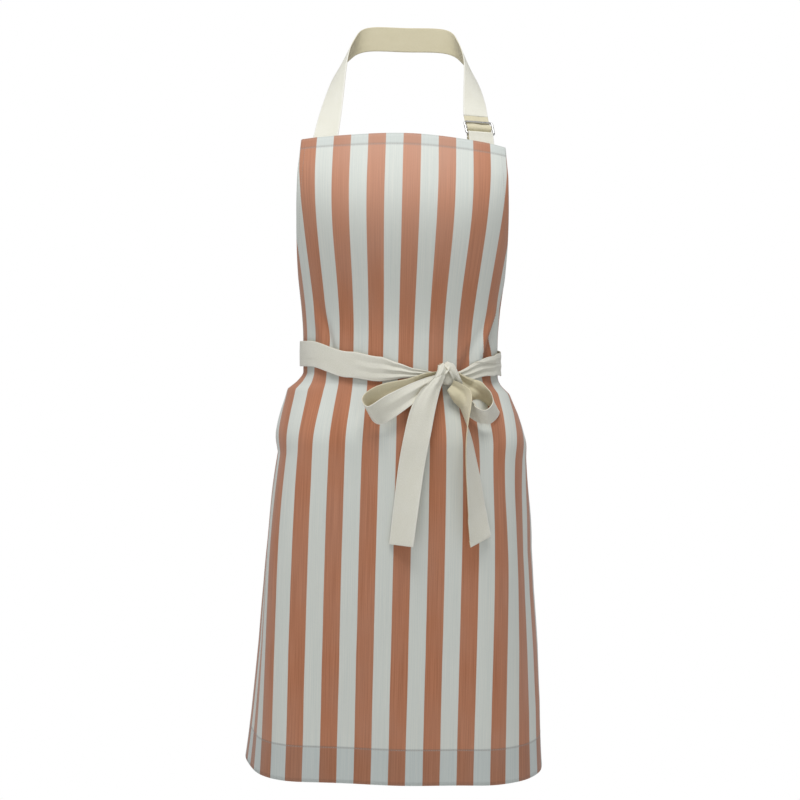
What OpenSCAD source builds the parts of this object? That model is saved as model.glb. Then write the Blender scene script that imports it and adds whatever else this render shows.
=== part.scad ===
// Bib apron in striped cotton canvas, with a cotton tape neck strap on a
// three-bar slider and two waist ties, shaped as it sits when it is worn and
// tied in a bow at the front.
// Millimetres. +Z is up and the front faces -Y. The origin is the inner face of
// the neck strap at the nape, where the apron hangs. Left and right are those
// of somebody who looks at its front.

/* [Panel] */
// Width of the panel from the waist down, measured flat
panel_w = 700; // [640:10:740]
// Length from the top of the bib to the bottom edge
panel_len = 872; // [780:4:960]
// Width of the bib along its top edge, measured flat
bib_w = 280; // [250:5:300]
// Depth of the bib from its top edge to the side corners
bib_len = 297; // [285:1:310]
// Thickness of the canvas
cloth_t = 1.2; // [0.8:0.1:1.4]
// Depth of the turned hem along the top of the bib
top_hem_w = 17; // [12:1:24]
// Depth of the turned hem along the bottom
bottom_hem_w = 50; // [30:1:60]
// Width of the narrow hems down the armholes and the sides
edge_hem_w = 10; // [6:1:14]

/* [Tape] */
// Width of the cotton tape
tape_w = 35; // [30:1:38]
// Thickness of the cotton tape
tape_t = 1.4; // [1:0.1:1.6]
// Distance from the middle of the bib to the middle of the neck strap
strap_x = 107; // [95:1:110]
// Drop from the nape to the top of the bib
bib_drop = 165; // [150:5:190]
// Length of the strap's free end below the slider
free_end = 110; // [60:5:140]

/* [Slider] */
// Diameter of the frame's wire
wire_d = 3; // [2.6:0.1:3.2]
// Distance between the middles of the bottom and top bars
slider_h = 21; // [20:0.5:24]
// Height of the slider's bottom bar above the bib
tab_rise = 10; // [8:1:14]

/* [Bow] */
// Place of the knot round the waist, from the middle towards the right
knot_s = 64; // [40:1:70]
// Depth of the knot below the top of the bib
knot_v = 319; // [312:1:322]
// Reach of the left loop from the knot
left_reach = 100; // [80:1:110]
// Reach of the right loop from the knot
right_reach = 78; // [60:1:90]
// Length of the left tail below the knot
left_tail = 226; // [180:2:260]
// Length of the right tail below the knot
right_tail = 215; // [180:5:240]

/* [Waist] */
// Radius of the waist in front
waist_front_r = 200; // [180:5:230]
// Radius of the waist at each side
waist_side_r = 72; // [66:1:78]
// Share of its flat width that the gathered panel covers at the waist
gather = 0.88; // [0.82:0.01:0.92]

/* [Hidden] */
$fn = 48;
CANVAS = [0.78, 0.50, 0.39];
CREAM = [0.91, 0.89, 0.81];
THREAD = [0.95, 0.94, 0.89];
STEEL = [0.74, 0.75, 0.76];
half_w = panel_w / 2;
deg = 180 / PI;

// The waist's section is three arcs, and the third closes it behind the back
waist_s1 = waist_front_r * 28.65 / deg;
waist_s2 = waist_s1 + waist_side_r * 121.35 / deg;
waist_back_r = waist_side_r
    + (waist_front_r - waist_side_r) * sin(28.65) / sin(150);
waist_half = waist_s2 + waist_back_r * 30 / deg;
waist_edge = gather * half_w;

// Shape that the cloth takes, in rows down from the top of the bib: depth,
// distance in front of the nape, length and curvature of the front arc, end
// and curvature of the side arc, curvature behind it, and gathering
WAIST = [160, waist_s1, 1 / waist_front_r, waist_s2, 1 / waist_side_r,
    1 / waist_back_r, gather];
FORM = [
    concat([-60], [130, 140, 1 / 310, 230, 1 / 150, 1 / 200, 1]),
    concat([90], [195, 80, 1 / 500, 200, 1 / 95, 1 / 200, 1]),
    concat([bib_len - 29], WAIST),
    concat([bib_len + 35], WAIST),
    concat([bib_len + 118], [176, 105, 1 / 500, 193, 1 / 80, 1 / 200, 0.97]),
    concat([panel_len], [150, 120, 1 / 1150, 212, 1 / 85, 1 / 220, 1])
];

function ease(t) = (1 - cos(180 * max(0, min(1, t)))) / 2;
function unit(a) = a / norm(a);

// Row of FORM at depth v. A smooth curve joins the rows: it lies level along the
// waist, between the third row and the fourth, and flares straight out below.
function slope(i, below) =
    let (a = FORM[max(0, i - 1)], b = FORM[i], c = FORM[min(len(FORM) - 1, i + 1)])
        i == 3 && below ? 0.8 * (c - b) / (c[0] - b[0])
        : i == 2 || i == 3 ? 0 * b
        : (c - a) / (c[0] - a[0]);
function form(v, i = 0) =
    i >= len(FORM) - 2 || v < FORM[i + 1][0]
        ? let (a = FORM[i], b = FORM[i + 1], h = b[0] - a[0], t = (v - a[0]) / h)
            a + t * t * (3 - 2 * t) * (b - a)
            + h * t * (1 - t) * ((1 - t) * slope(i, true) - t * slope(i + 1, false))
        : form(v, i + 1);

// Angle turned, and place reached, after a length s of a row's section
function turn(s, f) = deg * (min(s, f[2]) * f[3]
    + max(0, min(s, f[4]) - f[2]) * f[5] + max(0, s - f[4]) * f[6]);
function across(s, f) =
    let (a = turn(f[2], f), b = turn(f[4], f))
        sin(turn(min(s, f[2]), f)) / f[3]
        + (s > f[2] ? (sin(turn(min(s, f[4]), f)) - sin(a)) / f[5] : 0)
        + (s > f[4] ? (sin(turn(s, f)) - sin(b)) / f[6] : 0);
function behind(s, f) =
    let (a = turn(f[2], f), b = turn(f[4], f))
        (1 - cos(turn(min(s, f[2]), f))) / f[3]
        + (s > f[2] ? (cos(a) - cos(turn(min(s, f[4]), f))) / f[5] : 0)
        + (s > f[4] ? (cos(b) - cos(turn(s, f))) / f[6] : 0);

// Point at a length s round the form from its middle, a depth v and a height d
// off it, and the same for a point of the panel at a flat distance u
function on_form(s, v, d) =
    let (f = form(v), w = s > waist_half ? s - 2 * waist_half
            : s < -waist_half ? s + 2 * waist_half : s,
        g = w < 0 ? -1 : 1, a = turn(abs(w), f))
        [g * (across(abs(w), f) + d * sin(a)),
            behind(abs(w), f) - f[1] - d * cos(a), -bib_drop - v];
function on_panel(u, v, d) = on_form(u * form(v)[7], v, d);

// Half of the panel's flat width at depth v: a quarter of an ellipse cuts each
// armhole, and the sides run straight below it
function half_at(v) = v >= bib_len ? half_w
    : half_w - (half_w - bib_w / 2) * sqrt(1 - pow(v / bib_len, 2));

// Depths at which the panel's points lie
BIB_ROWS = concat([0], [for (v = [top_hem_w : 12 : 72]) v],
    [for (a = [15 : 5 : 60]) bib_len * sin(a)],
    [for (a = [64 : 4 : 88]) bib_len * sin(a)], [bib_len]);
LAST_ROW = panel_len - bottom_hem_w;
SKIRT_ROWS = concat([for (k = [0 : 2]) bib_len + 35 * k / 3],
    [for (k = [0 : 7]) bib_len + 35 + 83 * k / 7],
    [for (k = [1 : 6]) bib_len + 118 + k * (LAST_ROW - bib_len - 118) / 6]);
PANEL_COLS = [for (k = [-24 : 24]) k / 24];

// Closed solid between two grids of points. Seen from the side of the first
// grid, its rows run down and its columns run to the right.
module shell(front, back) {
    rows = len(front);
    cols = len(front[0]);
    n = rows * cols;
    points = concat([for (r = front) each r], [for (r = back) each r]);
    cells = [for (r = [0 : rows - 2], c = [0 : cols - 2])
        let (i = r * cols + c) [i, i + 1, i + cols + 1, i + cols]];
    rim = concat(
        [for (c = [0 : cols - 2]) [c + 1, c]],
        [for (c = [0 : cols - 2])
            let (i = (rows - 1) * cols + c) [i, i + 1]],
        [for (r = [0 : rows - 2]) [r * cols, (r + 1) * cols]],
        [for (r = [0 : rows - 2])
            [(r + 2) * cols - 1, (r + 1) * cols - 1]]);
    polyhedron(points, concat(
        [for (q = cells) each [[q[0], q[1], q[2]], [q[0], q[2], q[3]]]],
        [for (q = cells) each [[q[0] + n, q[2] + n, q[1] + n],
            [q[0] + n, q[3] + n, q[2] + n]]],
        [for (e = rim) each [[e[0], e[1], e[1] + n],
            [e[0], e[1] + n, e[0] + n]]]), convexity = 8);
}

// Piece of cloth on the panel, between two heights off it: each row is a depth,
// and at each depth the columns run between two flat distances
module on_cloth(rows, cols, low, high, from, to) {
    function grid(d) = [for (v = rows)
        [for (c = cols) on_panel(from(v) + c * (to(v) - from(v)), v, d)]];
    shell(grid(high), grid(low));
}

// Curve through keys, with n points to each stretch
function curve_at(k, i, t) =
    let (m = len(k) - 1, a = k[max(0, i - 1)], b = k[i],
        c = k[min(m, i + 1)], e = k[min(m, i + 2)])
        b + t / 2 * (c - a + t * (2 * a - 5 * b + 4 * c - e
            + t * (3 * (b - c) + e - a)));
function curve(k, n) = concat(
    [for (i = [0 : len(k) - 2], j = [0 : n - 1]) curve_at(k, i, j / n)],
    [k[len(k) - 1]]);

// Flat band along a path: each row of the path holds the middle's three
// coordinates, the three of the direction across it, and its width
module band(path, t) {
    m = len(path) - 1;
    function mid(i) = [path[i][0], path[i][1], path[i][2]];
    function over(i) = unit([path[i][3], path[i][4], path[i][5]]);
    function face(i) = unit(cross(
        mid(min(m, i + 1)) - mid(max(0, i - 1)), over(i)));
    function grid(d) = [for (i = [0 : m])
        [for (c = [-0.5, 0.5]) mid(i) + c * path[i][6] * over(i)
            + d * face(i)]];
    shell(grid(t / 2), grid(-t / 2));
}

// Band along keys given round the form, down it and off it: each key holds its
// middle, the direction of its width in the same three measures, and its width
module band_on_form(keys, n) {
    function row(k) = let (c = on_form(k[0], k[1], k[2]))
        concat(c, on_form(k[0] + k[3], k[1] + k[4], k[2] + k[5]) - c, [k[6]]);
    band([for (k = curve(keys, n)) row(k)], tape_t);
}

// The adjuster's own frame: its pivot is the middle of the slider's bottom bar,
// and it leans back in line with the strap
lean = 33;
adjuster_turn = turn(strap_x, form(0));
adjuster_side = [cos(adjuster_turn), sin(adjuster_turn), 0];
adjuster_back = [-sin(adjuster_turn), cos(adjuster_turn), 0];
adjuster_up = cos(lean) * [0, 0, 1] + sin(lean) * adjuster_back;
adjuster_in = cos(lean) * adjuster_back - sin(lean) * [0, 0, 1];
pivot = on_panel(strap_x, 0, -4.8) + tab_rise * adjuster_up;
function adjuster(y, z) = pivot + y * adjuster_in + z * adjuster_up;
module in_adjuster() {
    translate(pivot) rotate([-lean, 0, adjuster_turn]) children();
}

// Band of even width that follows a path in the adjuster's middle plane
module bent_tape(path) {
    m = len(path) - 1;
    function side(i) = let (a = path[max(0, i - 1)], b = path[min(m, i + 1)])
        tape_t / 2 * unit([a[1] - b[1], b[0] - a[0]]);
    translate([-tape_w / 2, 0, 0]) rotate([90, 0, 90])
        linear_extrude(tape_w) polygon(concat(
            [for (i = [0 : m]) path[i] + side(i)],
            [for (i = [m : -1 : 0]) path[i] - side(i)]));
}

// ---- Panel and its hems ----

module apron_panel() {
    rows = concat(BIB_ROWS, [for (k = [1 : 16]) SKIRT_ROWS[k]], [panel_len]);
    color(CANVAS) on_cloth(rows, PANEL_COLS, 0, cloth_t,
        function(v) 0, function(v) half_at(v));
}

module top_hem() {
    color(CANVAS) on_cloth([0, top_hem_w], PANEL_COLS, -0.1 - cloth_t, -0.1,
        function(v) 0, function(v) half_at(v));
}

module bottom_hem() {
    color(CANVAS) on_cloth([LAST_ROW, panel_len], PANEL_COLS,
        -0.1 - cloth_t, -0.1, function(v) 0, function(v) half_w);
}

// Room between the cloth and a hem turned in round a curved edge
hem_gap = 1.1;

// Narrow hem down one armhole, g = -1 on the left and 1 on the right
module armhole_hem(g) {
    a0 = asin((top_hem_w + 2) / bib_len);
    reach = half_w - bib_w / 2;
    function edge(a, k) = let (n = unit([-cos(a) / reach, sin(a) / bib_len]))
        [half_w - reach * cos(a) + k * n[0], bib_len * sin(a) + k * n[1]];
    function row(a, d) = [for (k = g < 0 ? [0.3, edge_hem_w]
            : [edge_hem_w, 0.3])
        let (e = edge(a, k)) on_panel(g * e[0], e[1], d)];
    angles = [for (k = [0 : 32]) a0 + (86 - a0) * k / 32];
    shell([for (a = angles) row(a, -hem_gap)],
        [for (a = angles) row(a, -hem_gap - cloth_t)]);
}
module left_armhole_hem() { color(CANVAS) armhole_hem(-1); }
module right_armhole_hem() { color(CANVAS) armhole_hem(1); }

// Narrow hem down one side of the skirt
module side_hem(g) {
    rows = [for (v = concat([bib_len + edge_hem_w + 1],
        [for (k = [2 : 15]) SKIRT_ROWS[k]], [LAST_ROW - 1])) v];
    ends = g < 0 ? [-half_w, edge_hem_w - half_w] : [half_w - edge_hem_w, half_w];
    on_cloth(rows, [0, 1], -hem_gap - cloth_t, -hem_gap,
        function(v) ends[0], function(v) ends[1]);
}
module left_side_hem() { color(CANVAS) side_hem(-1); }
module right_side_hem() { color(CANVAS) side_hem(1); }

// ---- Sewing thread ----

// Run of thread along points of the panel, each a flat distance and a depth
module thread_run(points, d) {
    m = len(points) - 1;
    function at(i) = on_panel(points[i][0], points[i][1], d);
    function along(i) = at(min(m, i + 1)) - at(max(0, i - 1));
    function out(i) = on_panel(points[i][0], points[i][1], d + 1) - at(i);
    band([for (i = [0 : m])
        concat(at(i), cross(out(i), along(i)), [0.8])], 0.5);
}
module top_hem_thread() {
    v = top_hem_w - 2;
    color(THREAD) thread_run(
        [for (c = PANEL_COLS) [c * (half_at(v) - 1), v]], cloth_t + 0.7);
}
module bottom_hem_thread() {
    v = LAST_ROW + 2;
    color(THREAD) thread_run(
        [for (c = PANEL_COLS) [c * (half_w - 1), v]], cloth_t + 0.35);
}
// Threads of the narrow hems, down to the waist ties and on below them
module edge_threads() {
    k = edge_hem_w - 2;
    reach = half_w - bib_w / 2;
    last = asin((side_v - tape_w / 2 - 10) / bib_len);
    first = corner_v + tape_w / 2 + 8;
    color(THREAD) for (g = [-1, 1]) {
        thread_run([for (i = [0 : 30])
            let (a = 5 + (last - 5) * i / 30,
                n = unit([-cos(a) / reach, sin(a) / bib_len]))
                [g * (half_w - reach * cos(a) + k * n[0]),
                    bib_len * sin(a) + k * n[1]]], cloth_t + 1.1);
        thread_run([for (i = [0 : 56])
            [g * (half_w - k), first + (panel_len - 1 - first) * i / 56]],
            cloth_t + 1.1);
    }
}

// ---- Neck strap and its adjuster ----

// The strap is sewn behind the left of the bib, rises in front of the shoulder,
// passes round the nape and comes down to the slider on the right
module neck_strap() {
    inner = [cos(adjuster_turn), -sin(adjuster_turn), 0];
    function foot(v, d) = concat(on_panel(-strap_x, v, d), inner, [tape_w]);
    side = strap_x - 14;
    end = adjuster(2.6, slider_h + 13);
    keys = [
        foot(0, -3.8),
        [-side, -55, 104 - bib_drop, 0.62, -0.2, 0.76, tape_w],
        [-side + 14, -20, -22, 0.3, -0.1, 0.95, tape_w],
        [-side + 36, -3, -2, 0.08, 0, 1, tape_w],
        [0, tape_t / 2, 0, 0, 0, 1, tape_w],
        [side - 36, -3, -2, -0.08, 0, 1, tape_w],
        [side - 14, -20, -22, -0.3, -0.1, 0.95, tape_w],
        [side, -55, 104 - bib_drop, -0.62, -0.2, 0.76, tape_w],
        concat(end, -adjuster_side, [tape_w])
    ];
    color(CREAM) band(concat([for (v = [28 : -7 : 7]) foot(v, -3.8)],
        curve(keys, 6)), tape_t);
}

// Short tape folded round the slider's bottom bar and sewn behind the bib
module slider_tab() {
    r = wire_d / 2 + 0.35 + tape_t / 2;
    outer = -4.3;
    inner = outer - tape_t - 0.4;
    function foot(v, d) = let (p = on_panel(strap_x, v, d) - pivot)
        [p * adjuster_in, p * adjuster_up];
    fold = [for (a = [-30 : 20 : 210]) [-r * cos(a), r * sin(a)]];
    color(CREAM) in_adjuster() bent_tape(concat(
        [for (v = [28, 19, 10, 2]) foot(v, outer)], fold,
        [for (v = [2, 10, 19, 28]) foot(v, inner)]));
}

// Wire frame of the slider, a rectangle with rounded corners
slider_w = tape_w + 4;
corner_r = 3;
module slider_frame() {
    x = slider_w / 2;
    color(STEEL) in_adjuster() {
        for (z = [0, slider_h])
            translate([-x + corner_r, 0, z]) rotate([0, 90, 0])
                cylinder(d = wire_d, h = slider_w - 2 * corner_r);
        for (g = [-1, 1])
            translate([g * x, 0, corner_r])
                cylinder(d = wire_d, h = slider_h - 2 * corner_r);
        for (g = [0, 1], h = [0, 1])
            translate([(g * 2 - 1) * (x - corner_r), 0,
                    h * slider_h + (1 - 2 * h) * corner_r])
                rotate([90, 0, 0]) rotate([0, 0, [[180, 90], [270, 0]][g][h]])
                    rotate_extrude(angle = 90) translate([corner_r, 0])
                        circle(d = wire_d);
    }
}

// Middle bar of the slider, welded between the frame's sides
bar_d = wire_d - 0.6;
module slider_bar() {
    h = slider_w - wire_d - 0.1;
    color(STEEL) in_adjuster() translate([-h / 2, 0, slider_h / 2])
        rotate([0, 90, 0]) cylinder(d = bar_d, h = h);
}

// Length of the strap that is threaded behind the top bar, over the middle bar
// and back through the lower slot
module strap_in_slider() {
    h = slider_h;
    keys = [[2.6, h + 12.6], [2.6, h + 5], [2.55, h], [1.2, h - 3.6],
        [-1.2, h / 2 + 3.4], [-2.4, h / 2], [-1.4, h / 2 - 2.9],
        [1.8, h / 2 - 5.2], [4.2, 2.4], [4.9, -0.6]];
    color(CREAM) in_adjuster() bent_tape(curve(keys, 4));
}

// Free end of the strap, which hangs behind the bib with its end turned up
free_top = adjuster(5.3, -1.5);
module strap_free_end() {
    turned = 12;
    color(CREAM) translate(free_top) rotate([0, 0, adjuster_turn]) {
        translate([-tape_w / 2, -tape_t / 2, -free_end])
            cube([tape_w, tape_t, free_end]);
        translate([-tape_w / 2, tape_t / 2, -free_end])
            cube([tape_w, tape_t, turned]);
    }
}

// ---- Waist ties ----

// Height off the form, and depth, of a tie along its way from the knot round
// one side to the back, over the other tie, and to its own corner
function tie_depth(s, depths) =
    let (i = len([for (r = depths) if (r[0] <= s) 1]) - 1,
        a = depths[max(0, i)], b = depths[min(len(depths) - 1, i + 1)])
        a == b ? a[1] : a[1] + ease((s - a[0]) / (b[0] - a[0])) * (b[1] - a[1]);
tie_seat = cloth_t + 0.9;
module waist_tie(g, start, depths, rise) {
    last = 2 * waist_half - waist_edge + 30;
    n = 60;
    function hop(s) = tie_seat + rise
        * ease((s - waist_edge - 2) / 8)
        * ease((2 * waist_half - waist_edge - 2 - s) / 8);
    function grid(t) = [for (k = [0 : n])
        let (s = start + (last - start) * k / n, v = tie_depth(s, depths))
        [for (c = [-1.5 : 1.5]) on_form(g * s, v - g * c * tape_w / 3,
            hop(s) + t)]];
    shell(grid(tape_t), grid(0));
}
corner_v = bib_len + 31;
side_v = bib_len - 8;
module left_waist_tie() {
    color(CREAM) waist_tie(1, knot_s + 12,
        [[knot_s + 12, knot_v + 1], [150, side_v + 13], [250, side_v + 5],
            [waist_edge + 4, side_v], [2 * waist_half - waist_edge - 4, corner_v]],
        tape_t + 0.5);
}
module right_waist_tie() {
    color(CREAM) waist_tie(-1, 12 - knot_s,
        [[12 - knot_s, knot_v], [45, side_v + 23], [130, side_v + 2],
            [waist_edge + 4, side_v], [2 * waist_half - waist_edge - 4, corner_v]],
        0);
}

// Square of stitches with a cross in it, where each tape is sewn down
module box_stitches() {
    a = 9;
    b = 12;
    path = [[-a, -b], [a, -b], [a, b], [-a, b], [-a, -b], [a, b]];
    color(THREAD) {
        for (g = [-1, 1], i = [0 : 4])
            let (p = path[i], q = path[i + 1])
                thread_run([for (t = [0.04 : 0.23 : 0.96])
                    let (m = p + t * (q - p))
                        [g * (half_w - 16 / gather) + m[0], corner_v + m[1]]],
                    tie_seat + tape_t + 0.9);
        for (g = [-1, 1], i = [0 : 4])
            let (p = path[i], q = path[i + 1])
                thread_run([for (t = [0.04 : 0.23 : 0.96])
                    let (m = p + t * (q - p))
                        [g * strap_x + m[1], 15 + m[0]]],
                    g < 0 ? -5.3 : -7.6);
    }
}

// ---- Bow ----

// Key of a bow's band, from the middle of the knot: right, down and off the form
function from_knot(x, z, d, across, w = 1) =
    concat([knot_s + x, knot_v + z, d], across, [w * tape_w]);

// Knot, a lump of folded tape that thins towards its edges
module bow_knot() {
    function grid(g) = [for (b = [-1 : 0.2 : 1.01]) [for (a = [-1 : 0.2 : 1.01])
        on_form(knot_s + a * (12 - 2 * b * b), knot_v + b * (12 - 2 * a * a),
            9.3 + g * 6.1 * sqrt((1 - 0.85 * a * a) * (1 - 0.85 * b * b)))]];
    color(CREAM) shell(grid(1), grid(-1));
}

// Loops of tape that leave the knot, turn at their far end and come back lower
// down: each stands open, with its upper edge towards the front
module left_bow_loop() {
    k = left_reach / 100;
    color(CREAM) band_on_form([
        from_knot(-15 * k, 0, 6.2, [-0.2, -1, 0.1], 0.45),
        from_knot(-47 * k, 18, 8.2, [-0.4, -1, 0.1], 0.8),
        from_knot(-74 * k, 27, 12, [-0.4, -0.9, 0.4]),
        from_knot(-92 * k, 35, 18, [-0.35, -0.7, 0.7]),
        from_knot(-101 * k, 45, 23, [-0.15, -0.55, 0.8]),
        from_knot(-92 * k, 54, 26, [-0.2, -0.6, 0.75]),
        from_knot(-73 * k, 43, 23.5, [-0.1, -0.9, 0.4]),
        from_knot(-48 * k, 26, 17, [-0.15, -1, 0.1], 0.9),
        from_knot(-15.5 * k, 6, 11, [-0.3, -1, 0], 0.45)], 4);
}
module right_bow_loop() {
    k = right_reach / 78;
    color(CREAM) band_on_form([
        from_knot(15 * k, 0, 5.6, [0.2, -1, 0.1], 0.35),
        from_knot(36 * k, 15, 7, [0.35, -0.95, 0.1], 0.6),
        from_knot(57 * k, 26, 14.5, [0.4, -0.7, 0.65]),
        from_knot(69 * k, 35, 19.5, [0.3, -0.55, 0.8]),
        from_knot(74 * k, 45, 23, [0.1, -0.4, 0.9]),
        from_knot(60 * k, 53, 24.5, [0.15, -0.4, 0.9]),
        from_knot(44 * k, 46, 20.5, [-0.1, -0.75, 0.65]),
        from_knot(28 * k, 34, 12.5, [0.1, -0.95, 0.15], 0.8),
        from_knot(12.5 * k, 17, 10, [0.4, -0.9, 0.05], 0.45)], 4);
}

// Tails, which hang from the front of the knot over the loops. The left one lies
// flat, and the right one leaves the knot edge on and turns to face the front.
module left_tie_tail() {
    k = left_tail / 226;
    flat = [1, -0.2, 0];
    color(CREAM) band_on_form([
        from_knot(-14, 2, 18.6, [1, -0.5, 0], 0.6),
        from_knot(-24, 18, 19.6, [1, -0.35, 0], 0.85),
        from_knot(-31, 44 * k, 16, flat, 0.9),
        from_knot(-36, 78 * k, 7, flat),
        from_knot(-44, 120 * k, 3.4, flat),
        from_knot(-50, 166 * k, 2.8, flat),
        from_knot(-58, left_tail, 2.8, flat)], 5);
}
module right_tie_tail() {
    k = right_tail / 215;
    color(CREAM) band_on_form([
        from_knot(6, 13, 18.6, [0.8, -0.4, -0.4], 0.45),
        from_knot(17, 24, 24, [0.35, -0.1, -0.93], 0.55),
        from_knot(21.5, 42, 26, [0.1, 0, -1], 0.6),
        from_knot(24, 66 * k, 23.5, [0.25, 0, -0.97], 0.85),
        from_knot(28, 96 * k, 19.5, [0.42, -0.05, -0.9]),
        from_knot(34, 132 * k, 17.5, [0.58, -0.1, -0.8]),
        from_knot(41, 170 * k, 15.5, [0.7, -0.15, -0.7]),
        from_knot(48, right_tail, 13, [0.8, -0.25, -0.53])], 5);
}

apron_panel();
top_hem();
bottom_hem();
left_armhole_hem();
right_armhole_hem();
left_side_hem();
right_side_hem();
top_hem_thread();
bottom_hem_thread();
edge_threads();
box_stitches();
neck_strap();
slider_tab();
slider_frame();
slider_bar();
strap_in_slider();
strap_free_end();
left_waist_tie();
right_waist_tie();
bow_knot();
left_bow_loop();
right_bow_loop();
left_tie_tail();
right_tie_tail();
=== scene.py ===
# %% [markdown]
# # A striped bib apron, in its worn shape
#
# An apron is one piece of cloth with its edges turned in, a tape that goes round
# the neck, and two tapes that go round the waist and meet in a bow. Each piece
# here is a surface worked out with numpy, and most of them ride on the matching
# body of the imported CAD model. The imported model comes first, because every
# place below is measured in its frame: metres, +Z up, the front towards -Y, and
# the origin at the inner face of the neck strap.

import math

import bpy
import numpy as np
from mathutils import Matrix


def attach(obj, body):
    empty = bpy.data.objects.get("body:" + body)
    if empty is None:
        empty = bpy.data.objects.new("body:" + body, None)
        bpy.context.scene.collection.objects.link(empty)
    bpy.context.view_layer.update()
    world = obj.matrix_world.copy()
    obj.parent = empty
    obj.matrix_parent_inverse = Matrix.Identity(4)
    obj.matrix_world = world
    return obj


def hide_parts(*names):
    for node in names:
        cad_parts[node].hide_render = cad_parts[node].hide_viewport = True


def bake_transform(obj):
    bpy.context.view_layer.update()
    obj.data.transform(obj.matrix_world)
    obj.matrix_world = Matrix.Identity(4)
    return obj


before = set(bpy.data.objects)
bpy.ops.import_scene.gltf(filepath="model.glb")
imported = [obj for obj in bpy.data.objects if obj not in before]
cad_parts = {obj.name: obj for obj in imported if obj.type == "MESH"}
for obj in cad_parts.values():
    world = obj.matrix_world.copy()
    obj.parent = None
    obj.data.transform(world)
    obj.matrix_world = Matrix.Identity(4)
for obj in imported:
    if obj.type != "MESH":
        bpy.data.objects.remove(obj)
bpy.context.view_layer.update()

# %% [markdown]
# ## Camera
#
# A camera about two metres in front, level with the middle of the apron, sees it
# with little perspective. A long lens does that. The small roll belongs to the
# way the apron hangs in the view.

# %% Camera
CAMERA_AT = (0.0038, -2.0591, -0.4951)
CAMERA_PITCH, CAMERA_ROLL = math.radians(-0.682), math.radians(-1.42)

camera = bpy.data.objects.new("camera", bpy.data.cameras.new("camera"))
bpy.context.scene.collection.objects.link(camera)
camera.data.lens, camera.data.sensor_width = 64, 36
camera.data.clip_start, camera.data.clip_end = 0.1, 30
camera.matrix_world = (
    Matrix.Translation(CAMERA_AT)
    @ Matrix.Rotation(CAMERA_PITCH, 4, "X")
    @ Matrix.Rotation(CAMERA_ROLL, 4, "Y")
    @ Matrix.Rotation(math.radians(90), 4, "X")
)
bpy.context.scene.camera = camera
print("camera at", CAMERA_AT)

# %% [markdown]
# ## The shape that the cloth lies on
#
# Cloth that is worn takes the shape of what is under it. That shape could be
# sculpted, but a few rows of numbers say it better: at each depth below the top
# of the bib, the section is three arcs that run into each other, one across the
# front, one round the side and one behind. A smooth curve joins the rows. Every
# piece is then placed by how far round, how far down and how far off it lies.

# %% Sizes, in millimetres
PANEL_W, PANEL_LEN, BIB_W, BIB_LEN = 700.0, 872.0, 280.0, 297.0
TOP_HEM, BOTTOM_HEM, EDGE_HEM, CLOTH = 17.0, 50.0, 10.0, 1.2
TAPE_W, TAPE_T, STRAP_X, BIB_DROP = 35.0, 1.4, 107.0, 165.0
WIRE, SLIDER_H, TAB_RISE, LEAN = 3.0, 21.0, 10.0, 33.0
KNOT_S, KNOT_V = 64.0, 319.0
HALF_W = PANEL_W / 2
FRONT_R, SIDE_R, GATHER = 200.0, 72.0, 0.88
STRIPE = 46.6
TOP_SEAM, BOTTOM_SEAM = TOP_HEM - 2, PANEL_LEN - BOTTOM_HEM + 1.5
EDGE_SEAM = 8

# %% Rows of the form
FRONT_S = FRONT_R * math.radians(28.65)
SIDE_S = FRONT_S + SIDE_R * math.radians(121.35)
BACK_R = SIDE_R + (FRONT_R - SIDE_R) * math.sin(math.radians(28.65)) / math.sin(
    math.radians(150)
)
WAIST_HALF = SIDE_S + BACK_R * math.radians(30)
WAIST_EDGE = GATHER * HALF_W
WAIST = [160, FRONT_S, 1 / FRONT_R, SIDE_S, 1 / SIDE_R, 1 / BACK_R, GATHER]
FORM = np.array(
    [
        [-60, 130, 140, 1 / 310, 230, 1 / 150, 1 / 200, 1],
        [90, 195, 80, 1 / 500, 200, 1 / 95, 1 / 200, 1],
        [BIB_LEN - 29] + WAIST,
        [BIB_LEN + 35] + WAIST,
        [BIB_LEN + 118, 176, 105, 1 / 500, 193, 1 / 80, 1 / 200, 0.97],
        [PANEL_LEN, 150, 120, 1 / 1150, 212, 1 / 85, 1 / 220, 1],
    ]
)
print("half of the waist", round(WAIST_HALF, 1), "mm")


# %% A row of the form at any depth
def row_slopes(below):
    """Slope of each row's values with depth: level at the waist's two rows, and
    elsewhere the slope from the row above to the row below. Seen from below, the
    waist's lower row has 0.8 of the slope to the next row."""
    up = FORM[np.maximum(np.arange(6) - 1, 0)]
    down = FORM[np.minimum(np.arange(6) + 1, 5)]
    slope = (down - up) / (down[:, :1] - up[:, :1])
    slope[2:4] = 0
    if below:
        slope[3] = 0.8 * (FORM[4] - FORM[3]) / (FORM[4, 0] - FORM[3, 0])
    return slope


def form(v):
    """Values of the form at depth v: a cubic curve that passes through the rows
    with the slopes above."""
    v = np.asarray(v, float)
    i = np.clip(np.searchsorted(FORM[:, 0], v, side="right") - 1, 0, 4)
    a, b = FORM[i], FORM[i + 1]
    h = (b - a)[..., :1]
    t = (v[..., None] - a[..., :1]) / h
    bend = (1 - t) * row_slopes(True)[i] - t * row_slopes(False)[i + 1]
    return a + t * t * (3 - 2 * t) * (b - a) + h * t * (1 - t) * bend


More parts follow.
